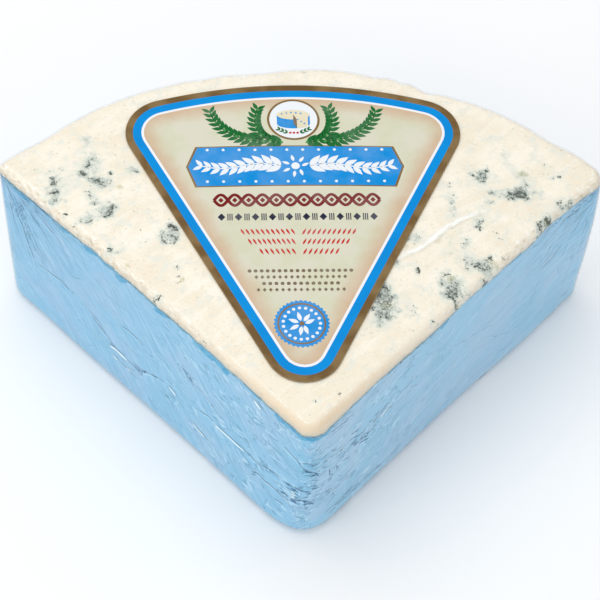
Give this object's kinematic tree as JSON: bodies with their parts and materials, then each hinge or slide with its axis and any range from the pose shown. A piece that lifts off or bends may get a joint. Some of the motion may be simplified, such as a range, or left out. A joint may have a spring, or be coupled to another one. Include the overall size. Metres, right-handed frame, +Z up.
{
  "type": "packed gorgonzola wedge",
  "caption": "Vacuum-packed wedge of blue-veined cheese: a quarter-round block of half a wheel's height in a pale blue wrap and clear film, with a blunt triangular label on top.",
  "frame": {"origin": "under the middle of the pack's outer box, on the surface that it stands on", "axes": "+Z up, +Y from the wedge's tip to its rind, +X to the right seen from the tip"},
  "size_m": [0.2184, 0.1578, 0.0757],
  "materials": {
    "cheese": "moist cream paste with blue-green veins",
    "foil": "opaque pale blue wrap, finely creased, glossy",
    "film": "clear shrink film, glossy",
    "label": "coated paper label with a bronze and blue border"
  },
  "bodies": {
    "root": {"cheese": "cheese", "foil_wrap": "foil", "clear_film": "film", "label": "label"}
  },
  "joints": []
}
